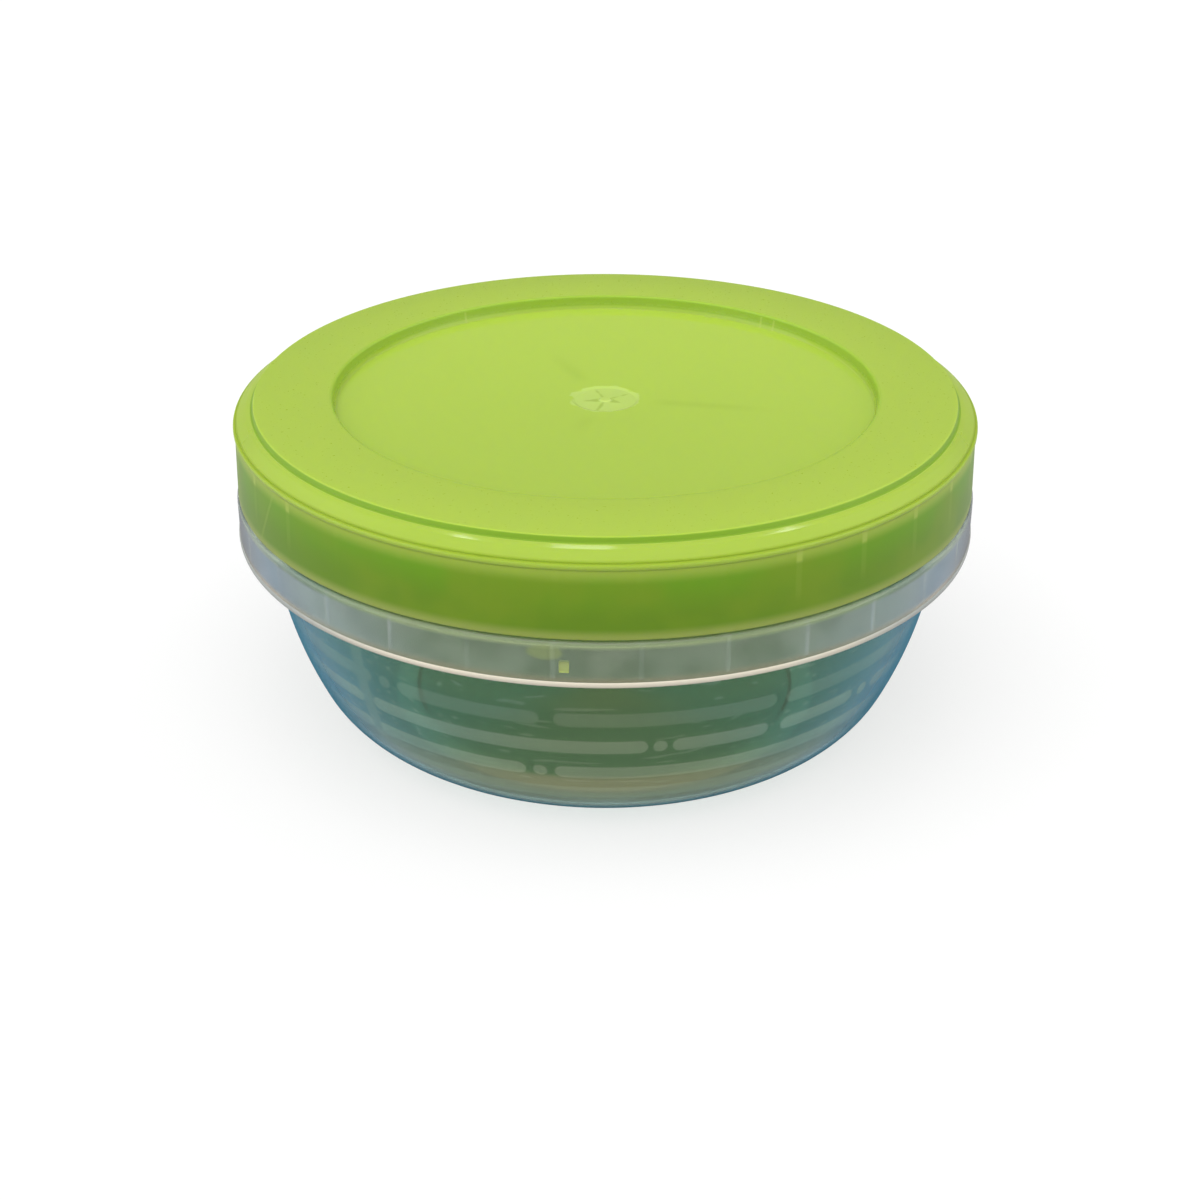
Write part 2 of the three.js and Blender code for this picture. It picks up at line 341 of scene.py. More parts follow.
# %% Draw and turn the lid
dimple, dimple_flank, dimple_depth = 7.4, 0.8, 0.3
nub, nub_height = 1.4, 0.22
flare, step_run = 0.4, 1.3
wall_top = recess_mouth - recess_edge
seal_gap, lip_wall, lip_height, lip_taper = 0.25, 1.0, 5.5, 0.35
lip = neck_bore - seal_gap
lip_low = seat - lip_height
ring_length, snap_height = 8.2, 1.6
snap_top = ridge_low - snap_gap
snap_bore = ring_bore - snap_proud
ring_low = seat - ring_length
bead_middle = bead_top - bead_height / 2
bead_curve = [
    (skirt + bead_proud * math.cos(a), bead_middle + bead_height / 2 * math.sin(a))
    for a in [math.radians(-90 + 180 * i / 10) for i in range(11)]
]
lid_section = rounded([
    (0, recess_floor - top_wall), (recess_foot + top_wall, recess_floor - top_wall, 0.6),
    (wall_top + top_wall, seat, 0.3),
    (lip - lip_wall, seat, 0.3), (lip - lip_wall, lip_low + lip_taper, 0.1),
    (lip - lip_wall + lip_taper, lip_low, 0.1), (lip - lip_taper, lip_low, 0.1),
    (lip, lip_low + lip_taper, 0.1), (lip, seat, 0.2),
    (neck, seat), (ring_bore, under_shoulder(ring_bore), 0.2),
    (ring_bore, snap_top, 0.2), (snap_bore, snap_top - snap_proud, 0.2),
    (snap_bore, snap_top - snap_height, 0.2),
    (ring_bore, ring_low, 0.1), (ring_radius, ring_low, 0.2),
    (ring_radius, under_shoulder(ring_radius), 0.2),
    (skirt - skirt_wall, under_shoulder(skirt - skirt_wall), 0.3),
    (skirt + flare - skirt_wall, skirt_low, 0.2), (skirt + flare, skirt_low, 0.35),
    *bead_curve,
    (shoulder_end, bead_top, 0.08), (shoulder_end, shoulder_low, 0.2),
    (step_foot[0] + step_run, step_foot[1] - step_run * math.tan(math.radians(30)), 0.3),
    (*step_foot, 0.3), (step_foot[0] - 0.4, land, 0.3),
    *arc((recess_mouth, land - recess_edge), recess_edge, 90, 180, 8),
    (recess_foot, recess_floor, 0.4),
    (dimple, recess_floor, 0.3), (dimple - dimple_flank, recess_floor - dimple_depth, 0.3),
    (nub, recess_floor - dimple_depth, 0.1),
    (nub - 0.3, recess_floor - dimple_depth + nub_height, 0.1),
    (0, recess_floor - dimple_depth + nub_height),
])
lid = turn(draw_section("lime_lid", lid_section))

# %% [markdown]
# ## Ribs inside the skirt
# Thirty-two ribs hold the skirt to the snap ring. They are why small marks show through the green
# skirt under the bead, and those marks are painted in the lid's colour as pale light. A rib's top
# follows the slope of the shoulder, so its outer top edge is moved down in edit mode after the box is
# made.

# %% Skirt ribs
skirt_rib_count, skirt_rib_first = 32, 4.7
skirt_rib_thick, skirt_rib_length = 1.1, 7.8
rib_inner, rib_outer = ring_radius - root, skirt - skirt_wall + root
rib = box_piece("rib", (rib_inner, -skirt_rib_thick / 2, seat - skirt_rib_length),
                (rib_outer, skirt_rib_thick / 2, under_shoulder(rib_inner) + root))
bpy.ops.object.mode_set(mode="EDIT")
bpy.ops.mesh.select_all(action="DESELECT")
bpy.ops.object.mode_set(mode="OBJECT")
outer_half = (rib_inner + rib_outer) / 2 * MM
upper_half = (seat - skirt_rib_length / 2) * MM
for vertex in rib.data.vertices:
    vertex.select = vertex.co.x > outer_half and vertex.co.z > upper_half
bpy.ops.object.mode_set(mode="EDIT")
top_drop = (under_shoulder(rib_outer) - under_shoulder(rib_inner)) * MM
bpy.ops.transform.translate(value=(0, 0, top_drop))
bpy.ops.object.mode_set(mode="OBJECT")
union(lid, copies_round(rib, skirt_rib_count, FRONT + math.radians(skirt_rib_first)))

# %% [markdown]
# ## Smooth shading
# The turned faces are shaded smooth, and an edge stays sharp only where two faces meet at more
# than 35 degrees. Both pieces then stand for the measured solids and ride on their bodies.

# %% Shade the pieces and hang them on their bodies
def finish_piece(piece, body):
    deselect_all()
    piece.select_set(True)
    bpy.context.view_layer.objects.active = piece
    bpy.ops.object.shade_smooth_by_angle(angle=math.radians(35))
    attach(piece, body)
    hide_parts(body)
    print(piece.name, "rides on", body, "with", len(piece.data.polygons), "faces")


finish_piece(bowl, "bowl")
finish_piece(lid, "lid")

# %% [markdown]
# ## Material helpers
# A material here is a small graph of nodes. `add` places a node, sets its values and links what
# is given as a socket, so that each finish below reads as a list of steps.

# %% Node helpers
def add(tree, kind, inputs=(), **settings):
    """Adds a node. Inputs are (socket name or number, value or output socket) pairs."""
    node = tree.nodes.new(kind)
    for name, value in settings.items():
        setattr(node, name, value)
    for key, value in dict(inputs).items():
        if isinstance(value, bpy.types.NodeSocket):
            tree.links.new(value, node.inputs[key])
        else:
            node.inputs[key].default_value = value
    return node


def maths(tree, operation, *values):
    return add(tree, "ShaderNodeMath", enumerate(values), operation=operation).outputs[0]


def times(tree, first, second):
    return maths(tree, "MULTIPLY", first, second)


def ramp(tree, value, start, end, low=0.0, high=1.0):
    """A soft step: low before start, high after end."""
    inputs = {"Value": value, "From Min": start, "From Max": end, "To Min": low, "To Max": high}
    return add(tree, "ShaderNodeMapRange", inputs, interpolation_type="SMOOTHSTEP").outputs[0]


def blend(tree, share, first, second):
    """A colour mix: first where share is 0, second where it is 1."""
    node = add(tree, "ShaderNodeMix", data_type="RGBA")
    for socket, value in ((node.inputs[0], share), (node.inputs[6], first), (node.inputs[7], second)):
        if isinstance(value, bpy.types.NodeSocket):
            tree.links.new(value, socket)
        else:
            socket.default_value = value
    return node.outputs[2]


def mix_number(tree, share, first, second):
    """A number mix: first where share is 0, second where it is 1."""
    inputs = {0: share, 2: first, 3: second}
    return add(tree, "ShaderNodeMix", inputs, data_type="FLOAT").outputs[0]


def noise(tree, point, scale, detail):
    """Soft noise over a piece. A scale of 1 gives grains about a millimetre across."""
    inputs = {"Vector": point, "Scale": scale, "Detail": detail}
    return add(tree, "ShaderNodeTexNoise", inputs).outputs[0]


def band(tree, value, middle, half_width, softness):
    """1 within half_width of a middle, falling to 0 over the softness."""
    off = maths(tree, "ABSOLUTE", maths(tree, "SUBTRACT", value, middle))
    return ramp(tree, off, half_width + softness, half_width)


def off_nearest(tree, azimuth, first, count):
    """Degrees from the nearest of some evenly spaced places, the first of them at an azimuth."""
    half_pitch = 180 / count
    past_first = maths(tree, "SUBTRACT", azimuth, first)
    return maths(tree, "ABSOLUTE", maths(tree, "WRAP", past_first, half_pitch, -half_pitch))


def round_distance(tree, azimuth, centre, radius):
    """How far round the piece a point is from an azimuth, in millimetres."""
    arc_angle = times(tree, off_nearest(tree, azimuth, centre, 1), math.pi / 180)
    return times(tree, arc_angle, radius)


def long_side(tree, first, second):
    """The long side of a right-angled triangle with two given sides."""
    squares = maths(tree, "MULTIPLY_ADD", first, first, times(tree, second, second))
    return maths(tree, "SQRT", squares)


def new_group(name, inputs, outputs):
    group = bpy.data.node_groups.new(name, "ShaderNodeTree")
    for socket, kind, value in inputs:
        made = group.interface.new_socket(socket, in_out="INPUT", socket_type="NodeSocket" + kind)
        made.default_value = value
    for socket, kind in outputs:
        group.interface.new_socket(socket, in_out="OUTPUT", socket_type="NodeSocket" + kind)
    return group, group.nodes.new("NodeGroupInput").outputs, group.nodes.new("NodeGroupOutput").inputs


def use(tree, group, **inputs):
    """Places a node group and returns its outputs."""
    node = add(tree, "ShaderNodeGroup", node_tree=group)
    for name, value in inputs.items():
        socket = node.inputs[name.replace("_", " ")]
        if isinstance(value, bpy.types.NodeSocket):
            tree.links.new(value, socket)
        else:
            socket.default_value = value
    return node.outputs


def new_material(name):
    material = bpy.data.materials.new(name)
    material.use_nodes = True
    material.node_tree.nodes.clear()
    return material, material.node_tree


print("node helpers are ready")

# %% [markdown]
# ## Where am I on a turned piece?
# Marks on a turned piece are easiest to place by how far they are from the axis, how high they are
# and how far round. This group works those out from Object coordinates, in millimetres and
# degrees, with 0 degrees at the front and positive towards +X. It also gives the level direction
# outwards from the axis. Both plastics use it.

# %% Round place group
place_group, _, place_out = new_group("round_place", [], [
    ("Radius", "Float"), ("Height", "Float"), ("Azimuth", "Float"), ("Point", "Vector"),
    ("Outwards", "Vector")])
t = place_group
point = add(t, "ShaderNodeVectorMath", {0: add(t, "ShaderNodeTexCoord").outputs["Object"], 3: 1 / MM},
            operation="SCALE").outputs[0]
axes = add(t, "ShaderNodeSeparateXYZ", {0: point}).outputs
flat = add(t, "ShaderNodeCombineXYZ", {0: axes[0], 1: axes[1]}).outputs[0]
reach = add(t, "ShaderNodeVectorMath", {0: flat}, operation="LENGTH").outputs["Value"]
t.links.new(reach, place_out["Radius"])
t.links.new(axes[2], place_out["Height"])
round_angle = maths(t, "ARCTAN2", axes[0], times(t, axes[1], -1.0))
t.links.new(times(t, round_angle, 180 / math.pi), place_out["Azimuth"])
t.links.new(point, place_out["Point"])
outwards = add(t, "ShaderNodeVectorMath", {0: flat}, operation="NORMALIZE").outputs[0]
t.links.new(outwards, place_out["Outwards"])
print("round_place gives", [s.name for s in place_out if s.name])

# %% [markdown]
# ## Moulded surface
# No moulded plastic is optically flat. This group gives a faint unevenness of the gloss, a few
# hair scratches, and a height for a bump, and both plastics use it with strengths of their own.

# %% Moulded surface group
moulded_group, moulded_in, moulded_out = new_group(
    "moulded_surface",
    [("Point", "Vector", (0, 0, 0)), ("Wave Size", "Float", 12.0), ("Grain Size", "Float", 0.6)],
    [("Waves", "Float"), ("Grain", "Float"), ("Scratches", "Float")],
)
t = moulded_group
per_wave = maths(t, "DIVIDE", 1.0, moulded_in["Wave Size"])
per_grain = maths(t, "DIVIDE", 1.0, moulded_in["Grain Size"])
t.links.new(noise(t, moulded_in["Point"], per_wave, 1.0), moulded_out["Waves"])
t.links.new(noise(t, moulded_in["Point"], per_grain, 2.0), moulded_out["Grain"])
long_way = add(t, "ShaderNodeMapping", {"Vector": moulded_in["Point"], "Rotation": (0.3, 0.5, 0.9),
                                        "Scale": (0.02, 0.9, 0.9)}).outputs[0]
hairs = noise(t, long_way, 1.0, 0.0)
t.links.new(ramp(t, hairs, 0.70, 0.74), moulded_out["Scratches"])
print("moulded_surface gives waves, grain and scratches")

# %% [markdown]
# ## Lime green lid
# The lid is a coloured plastic that lets some light through, so part of its colour is subsurface
# scattering. The skirt is upright and has ribs and a ring behind it, and its deeper green is painted
# shade. It is painted lightest under the bead and darker downwards, with soft clouds in it, and it
# pales along its free edge. Behind the skirt each rib shows as a small painted pale tick and a faint
# painted streak of light through the rib, painted fainter at the front.

# %% Masks on the skirt
lime, t = new_material("lime_plastic")
place = use(t, place_group)
surface = use(t, moulded_group, Point=place["Point"])
on_skirt = ramp(t, place["Height"], bead_middle - 0.7, bead_middle - 3.8)
# Painted shade: the skirt is painted darker downwards.
skirt_shade_downwards = ramp(t, place["Height"], bead_middle - 2.0, skirt_low + 4.0)
skirt_edge = ramp(t, place["Height"], skirt_low + 2.6, skirt_low + 0.4)
skirt_clouds = noise(t, place["Point"], 0.055, 2.0)
degree_on_skirt = math.radians(skirt)
# Painted light: a pale tick and a streak where light comes through each rib, fainter at the front.
to_rib = off_nearest(t, place["Azimuth"], skirt_rib_first, skirt_rib_count)
rib_light_line = ramp(t, times(t, to_rib, degree_on_skirt), 0.95, 0.35)
faintest_azimuth = -12.0
from_faintest = maths(t, "ABSOLUTE", maths(t, "SUBTRACT", place["Azimuth"], faintest_azimuth))
rib_light_line = times(t, rib_light_line, ramp(t, from_faintest, 28.0, 38.0, 0.08, 1.0))
rib_tick_light = times(t, rib_light_line, band(t, place["Height"], land - 5.9, 1.1, 0.8))
rib_streak_light = times(t, rib_light_line, band(t, place["Height"], land - 10.0, 2.5, 4.0))
print("skirt masks are ready")

# %% [markdown]
# A faint pale line slants down the skirt on the left. The step and the groove over the bead are
# deeper in colour, because little light gets into them.

# %% Masks on the slanting line, the step and the groove
slant_azimuth, slant_top, slant_lean = -56.0, land - 6.5, 0.42
below_top = maths(t, "SUBTRACT", slant_top, place["Height"])
leaning = maths(t, "MULTIPLY_ADD", below_top, slant_lean, place["Azimuth"])
off_slant = maths(t, "ABSOLUTE", maths(t, "SUBTRACT", leaning, slant_azimuth))
slant = ramp(t, times(t, off_slant, degree_on_skirt), 0.6, 0.2)
slant = times(t, slant, band(t, place["Height"], land - 12.0, 4.5, 2.5))
step_radius = step_foot[0] - 0.05
step_line = band(t, place["Radius"], step_radius, 0.45, 0.15)
in_step = times(t, band(t, place["Radius"], step_radius, 0.3, 0.15),
                ramp(t, place["Height"], land - 0.15, land - 0.4))
in_groove = times(t, band(t, place["Height"], (shoulder_low + bead_top) / 2, 0.2, 0.25),
                  ramp(t, place["Radius"], shoulder_end - 0.5, shoulder_end - 0.2))
past_land = ramp(t, place["Radius"], step_foot[0] + 0.1, step_foot[0] + 0.5)
past_bead = ramp(t, place["Height"], bead_middle + 0.2, bead_middle - 0.3)
print("step and groove masks are ready")

# %% [markdown]
# The gate is where the melt entered. Round it the plastic froze in an uneven pale patch, with dark
# arms that run out from the nub like a small star. The patch's edge is its radius plus some noise,
# and each arm is a line from the middle that gets thinner outwards.

# %% Masks round the gate
GATE_ARMS = ((-82, 0.9, 4.6), (63, 1.0, 4.2), (-16, 0.15, 6.5), (-160, 0.0, 6.0), (124, 0.0, 6.0))
gate_point = add(t, "ShaderNodeMapping", {"Vector": place["Point"], "Scale": (1, 1, 0)}).outputs[0]
uneven = noise(t, gate_point, 0.35, 2.0)
corners = maths(t, "COSINE", times(t, place["Azimuth"], math.radians(8)))
uneven_edge = maths(t, "MULTIPLY_ADD", uneven, 2.4, times(t, corners, 0.25))
gate_radius = maths(t, "ADD", place["Radius"], maths(t, "SUBTRACT", uneven_edge, 1.2))
on_floor = ramp(t, place["Height"], recess_floor + 0.25, recess_floor + 0.05)
patch = times(t, on_floor, ramp(t, gate_radius, dimple + 0.5, dimple - 0.2))
patch_rim = times(t, on_floor, band(t, gate_radius, dimple - 0.5, 0.45, 0.5))
# A pale crescent on the near side of the nub is a painted highlight.
nub_highlight_side = ramp(t, maths(t, "ABSOLUTE", place["Azimuth"]), 110.0, 60.0)
nub_highlight = times(t, nub_highlight_side, band(t, place["Radius"], nub, 0.15, 0.25))
star = 0.0
for arm_azimuth, half_width, arm_end in GATE_ARMS:
    aside = round_distance(t, place["Azimuth"], arm_azimuth, place["Radius"])
    aside = maths(t, "ADD", aside, maths(t, "MULTIPLY_ADD", uneven, 1.6, -0.8))
    taper = ramp(t, place["Radius"], 1.2, arm_end, half_width, 0.0)
    arm = ramp(t, maths(t, "SUBTRACT", aside, taper), 0.45, -0.25)
    arm = times(t, arm, ramp(t, place["Radius"], arm_end + 0.6, arm_end - 0.8))
    star = maths(t, "MAXIMUM", star, arm)
star = times(t, star, ramp(t, place["Radius"], nub - 0.1, nub + 0.4))
star = times(t, star, on_floor)
print("gate masks are ready")

# %% [markdown]
# From the gate fine flow lines run outwards over the floor of the recess. The recess has a band of
# painted shade round its wall, and three short pale marks stand on the far side of that wall.

# %% Masks on the recess
FLOW_LINES = ((-156, 9.0, 34.0), (80, 9.0, 40.0), (-18, 9.0, 24.0))
WALL_MARKS = (137.4, 141.0, -145.3)
flow = 0.0
for flow_azimuth, flow_start, flow_end in FLOW_LINES:
    aside = round_distance(t, place["Azimuth"], flow_azimuth, place["Radius"])
    begun = ramp(t, place["Radius"], flow_start, flow_start + 6)
    fading = ramp(t, place["Radius"], flow_end, flow_end - 16)
    line = times(t, ramp(t, aside, 2.8, 0.0), times(t, begun, fading))
    flow = maths(t, "MAXIMUM", flow, line)
flow = times(t, flow, on_floor)
recess_wall = (recess_foot + recess_mouth) / 2
shaded_wall = times(t, band(t, place["Radius"], recess_wall, 0.6, 0.2),
                    band(t, place["Height"], (land + recess_floor) / 2 + 0.4, 0.9, 0.5))
wall_marks = 0.0
for mark_azimuth in WALL_MARKS:
    aside = round_distance(t, place["Azimuth"], mark_azimuth, place["Radius"])
    wall_marks = maths(t, "MAXIMUM", wall_marks, ramp(t, aside, 0.4, 0.15))
wall_marks = times(t, wall_marks, band(t, place["Radius"], recess_wall, 0.7, 0.2))
wall_marks = times(t, wall_marks, ramp(t, place["Height"], land - 0.5, land - 0.8))
in_recess = ramp(t, place["Height"], recess_floor + 1.5, recess_floor + 0.3)
over_mouth = ramp(t, place["Radius"], recess_mouth + 0.3, recess_foot)
print("recess masks are ready")

# %% [markdown]
# With the masks made, the colour is built up in layers, as with glazes: each layer has a mask, a
# share and a colour of its own, and lies over the ones before it.

# %% Lid colour
top_lime = (0.416, 0.574, 0.064, 1)
# The recess floor is painted a little lighter than the land, to offset the shade in the recess.
recess_lime_lightened = (0.440, 0.612, 0.070, 1)
# The skirt's greens are painted shade, lighter under the bead and darker downwards.
upper_skirt_shade_lime = (0.180, 0.408, 0.000, 1)
lower_skirt_shade_lime = (0.168, 0.328, 0.000, 1)
cloudy_lime = (0.225, 0.372, 0.004, 1)
edge_lime = (0.37, 0.46, 0.09, 1)
step_lime = (0.22, 0.42, 0.005, 1)
groove_lime = (0.28, 0.41, 0.004, 1)
# This pale colour serves the painted light through the ribs and the pale slanting line and wall marks.
pale_mark_and_light_lime = (0.48, 0.62, 0.10, 1)
gate_pale = (0.53, 0.69, 0.17, 1)
gate_deep = (0.27, 0.41, 0.03, 1)
shaded_skirt_lime = blend(t, skirt_shade_downwards, upper_skirt_shade_lime, lower_skirt_shade_lime)
shaded_skirt_lime = blend(t, ramp(t, skirt_clouds, 0.42, 0.66, 0.0, 0.8), shaded_skirt_lime, cloudy_lime)
colour = blend(t, over_mouth, top_lime, recess_lime_lightened)
colour = blend(t, on_skirt, colour, shaded_skirt_lime)
colour = blend(t, skirt_edge, colour, edge_lime)
for mask, share, layer_colour in (
    (rib_tick_light, 0.75, pale_mark_and_light_lime), (rib_streak_light, 0.10, pale_mark_and_light_lime), (slant, 0.22, pale_mark_and_light_lime),
    (in_step, 0.9, step_lime), (in_groove, 0.7, groove_lime),
    (shaded_wall, 0.4, step_lime), (wall_marks, 0.8, pale_mark_and_light_lime),
    (patch, 0.7, gate_pale), (nub_highlight, 0.6, gate_pale), (patch_rim, 0.12, gate_pale),
    (star, 0.55, gate_deep), (flow, 0.20, gate_deep),
):
    colour = blend(t, times(t, mask, share), colour, layer_colour)
print("the lid's colour has", len(t.nodes), "nodes behind it")

# %% [markdown]
# The land has a fine satin grain, the floor of the recess and the shoulder are polished, and the
# skirt, the step and the groove are satin again. Seen at a glancing angle the shoulder loses its
# polish, as a slightly uneven surface does.

# %% Lid gloss and material
gloss = ramp(t, surface["Grain"], 0.2, 0.8, 0.27, 0.33)
gloss = mix_number(t, in_recess, gloss, 0.08)
lid_facing = add(t, "ShaderNodeLayerWeight", {"Blend": 0.5}).outputs["Facing"]
gloss = mix_number(t, past_land, gloss, ramp(t, lid_facing, 0.50, 0.75, 0.09, 0.45))
gloss = mix_number(t, past_bead, gloss, 0.38)
gloss = mix_number(t, maths(t, "MAXIMUM", step_line, in_groove), gloss, 0.45)
bump = add(t, "ShaderNodeBump", {"Height": surface["Waves"], "Strength": 0.08, "Distance": 0.03 * MM})
shader = add(t, "ShaderNodeBsdfPrincipled", {
    "Base Color": colour, "Roughness": gloss, "Normal": bump.outputs[0],
    "IOR": 1.49, "Subsurface Weight": 0.7,
    "Subsurface Scale": 1.5 * MM, "Subsurface Radius": (0.8, 1.0, 0.15)})
t.links.new(shader.outputs[0], add(t, "ShaderNodeOutputMaterial").inputs["Surface"])
lid.data.materials.append(lime)
print("lime_plastic is on", lid.name)

# %% [markdown]
# ## Frosted dashes
# Rows of long bars with round ends run round the bowl, broken here and there, sometimes with a
# round dot in the break. They are slightly frosted, and have no height that can be felt, so they
# belong in the material. A row is one endless bar. Near a break the distance to the bar's end
# takes over, which gives the round ends. A row is written as its height, its strength and its
# breaks, and a break as its azimuth, its half width in degrees, and whether it has a dot.

# %% Frosted dashes group
BAR_HALF, DOT_HALF, SOFT_EDGE = 1.7, 1.45, 0.12
ROWS = (
    (32.3, 0.55, ((-37.6, 2.85, True), (-9.05, 1.15, False), (29.0, 0.9, False), (72, 1.2, False),
            (98, 2.7, True), (131, 1.1, False), (163, 1.2, False), (-158, 2.6, True),
            (-121, 1.1, False), (-83, 1.2, False))),
    (25.1, 1.0, ((-42.95, 1.25, False), (9.0, 2.0, True), (28.7, 1.2, False), (48.65, 2.75, True),
            (84, 1.2, False), (117, 2.6, True), (148, 1.2, False), (178, 2.6, True),
            (-139, 1.2, False), (-102, 2.6, True), (-70, 1.2, False))),
    (17.8, 1.0, ((-43.35, 0.85, False), (-10.75, 2.45, True), (68, 1.2, False), (104, 1.1, False),
            (128, 2.6, True), (170, 1.1, False), (-146, 2.6, True), (-112, 1.1, False),
            (-76, 2.6, True))),
)
dash_group, dash_in, dash_out = new_group(
    "frosted_dashes",
    [("Azimuth", "Float", 0.0), ("Height", "Float", 0.0), ("Radius", "Float", 70.0)],
    [("Dashes", "Float")],
)
t = dash_group
marks = 0.0
for height, strength, breaks in ROWS:
    off_row = maths(t, "SUBTRACT", dash_in["Height"], height)
    past_end = 0.0
    row = 0.0
    for azimuth, half_width, has_dot in breaks:
        away = round_distance(t, dash_in["Azimuth"], azimuth, dash_in["Radius"])
        half_gap = maths(t, "MULTIPLY_ADD", dash_in["Radius"], math.radians(half_width), BAR_HALF)
        past_end = maths(t, "MAXIMUM", past_end, maths(t, "SUBTRACT", half_gap, away))
        if has_dot:
            from_dot = long_side(t, away, off_row)
            dot = ramp(t, from_dot, DOT_HALF + SOFT_EDGE, DOT_HALF - SOFT_EDGE)
            row = maths(t, "MAXIMUM", row, dot)
    from_bar = long_side(t, past_end, off_row)
    bar = ramp(t, from_bar, BAR_HALF + SOFT_EDGE, BAR_HALF - SOFT_EDGE)
    row = times(t, maths(t, "MAXIMUM", row, bar), strength)
    marks = maths(t, "MAXIMUM", marks, row)
t.links.new(marks, dash_out["Dashes"])
print("frosted_dashes has", len(t.nodes), "nodes")

# %% [markdown]
# ## Clear bowl
# Clear plastic is a refracting skin, and its tint deepens where light runs along a wall. A Layer
# Weight node that is given the level direction outwards says how far to the side a point lies, so
# it mixes in the side's deeper blue, which is partly painted. Scratches, dashes, a band and a strip
# are slightly frosted.

# %% Masks on the bowl
clear, t = new_material("clear_plastic")
place = use(t, place_group)
surface = use(t, moulded_group, Point=place["Point"])
dashes = use(t, dash_group, Azimuth=place["Azimuth"], Height=place["Height"], Radius=place["Radius"])
from_centre = long_side(t, maths(t, "SUBTRACT", place["Radius"], wall_centre[0]),
                        maths(t, "SUBTRACT", place["Height"], wall_centre[1]))
outer_skin = ramp(t, from_centre, wall_curve - wall * 0.6, wall_curve - wall * 0.4)
band_low = band(t, place["Height"], 11.4, 1.5, 0.5)
strip_azimuth = -43.1
strip = ramp(t, round_distance(t, place["Azimuth"], strip_azimuth, place["Radius"]), 1.9, 1.5)
strip = times(t, strip, band(t, place["Height"], 29.0, 13.0, 4.0))
frost = dashes["Dashes"]
for mask, share in ((band_low, 0.7), (strip, 0.5), (surface["Scratches"], 0.5)):
    frost = maths(t, "MAXIMUM", frost, times(t, mask, share))
frost = times(t, frost, outer_skin)
outside = ramp(t, place["Radius"], neck + 0.3, neck + 1.5)
facing = add(t, "ShaderNodeLayerWeight", {"Blend": 0.5}).outputs["Facing"]
level_weight = add(t, "ShaderNodeLayerWeight", {"Blend": 0.5, "Normal": place["Outwards"]})
sideways = level_weight.outputs["Facing"]
print("bowl masks are ready")

# %% [markdown]
# In front the body is a soft grey-green, partly the plastic's tint and partly painted shade and green
# light from the lid, seen through the wall. Towards the sides it is a clear blue, partly the tint
# that deepens along the wall and partly painted blue surroundings seen through it. Low down, where
# the base curves in, both are paler, and the frosted marks are the palest.

# %% Tint of the body
front_tint_and_shade, front_tint_and_shade_high = (0.19, 0.355, 0.155, 1), (0.255, 0.395, 0.170, 1)
front_tint_and_shade_low = (0.46, 0.46, 0.275, 1)
side_blue_and_surroundings, side_blue_and_surroundings_low = (0.075, 0.445, 0.940, 1), (0.165, 0.48, 0.66, 1)
frosted_front, frosted_side = (0.80, 0.82, 0.64, 1), (0.48, 0.82, 0.98, 1)
glancing = ramp(t, sideways, 0.20, 0.70)
low_tint = ramp(t, place["Height"], 17.2, 15.2)
high_tint = ramp(t, place["Height"], 32.5, 37.0)
middle = blend(t, high_tint, front_tint_and_shade, front_tint_and_shade_high)
middle = blend(t, low_tint, middle, front_tint_and_shade_low)
side_tint = blend(t, low_tint, side_blue_and_surroundings, side_blue_and_surroundings_low)
body_tint = blend(t, glancing, middle, side_tint)
frosted_tint = blend(t, glancing, frosted_front, frosted_side)
body_tint = blend(t, times(t, frost, 0.75), body_tint, frosted_tint)
print("body tint is ready")

# %% [markdown]
# The collar is hazier and paler than the body, and cloudy in front. Each rib behind it shows as a
# thin painted pale line of light caught in the rib, left out at the front, and a soft yellow-green
# smear lies round the pad. A band along the collar's top is painted green light from the lid above,
# darker at the sides. The wall behind the collar stays plain white, so that light gets through both
# walls.

# %% Tint of the collar
haze_deep, haze_pale = (0.45, 0.53, 0.38, 1), (0.62, 0.68, 0.54, 1)
collar_pale, collar_blue = (0.80, 0.85, 0.88, 1), (0.20, 0.31, 0.50, 1)
lid_light_front, lid_light_side = (0.90, 1.0, 0.62, 1), (0.40, 0.50, 0.42, 1)
glow_colour, rib_light_pale = (0.95, 0.78, 0.58, 1), (0.95, 0.97, 0.95, 1)
smear_colour = (0.80, 0.86, 0.42, 1)
collar_clouds = noise(t, place["Point"], 0.11, 2.0)
collar_front = blend(t, ramp(t, collar_clouds, 0.35, 0.65), haze_deep, haze_pale)
collar_tint = blend(t, ramp(t, facing, 0.16, 0.42), collar_front, collar_pale)
collar_tint = blend(t, ramp(t, facing, 0.44, 0.64), collar_tint, collar_blue)
# Painted green light from the lid along the collar's top, darker at the sides.
lid_light_band = ramp(t, place["Height"], collar_top - 1.7, collar_top - 1.1)
lid_light_tint = blend(t, ramp(t, sideways, 0.30, 0.60), lid_light_front, lid_light_side)
collar_tint = blend(t, lid_light_band, collar_tint, lid_light_tint)
rim_glow = ramp(t, place["Height"], collar_low + 2.6, collar_low + rim_height)
collar_tint = blend(t, times(t, rim_glow, 0.8), collar_tint, glow_colour)
to_rib = off_nearest(t, place["Azimuth"], collar_rib_first, collar_rib_count)
rib_light_line = times(t, ramp(t, to_rib, 0.42, 0.12), ramp(t, surface["Waves"], 0.40, 0.62, 0.15, 0.75))
rib_middle = (rib_low + collar_top) / 2
rib_light_line = times(t, rib_light_line, band(t, place["Height"], rib_middle - 0.5, 2.6, 1.5))
rib_light_line = times(t, rib_light_line, ramp(t, maths(t, "ABSOLUTE", place["Azimuth"]), 20.0, 32.0))
collar_tint = blend(t, rib_light_line, collar_tint, rib_light_pale)
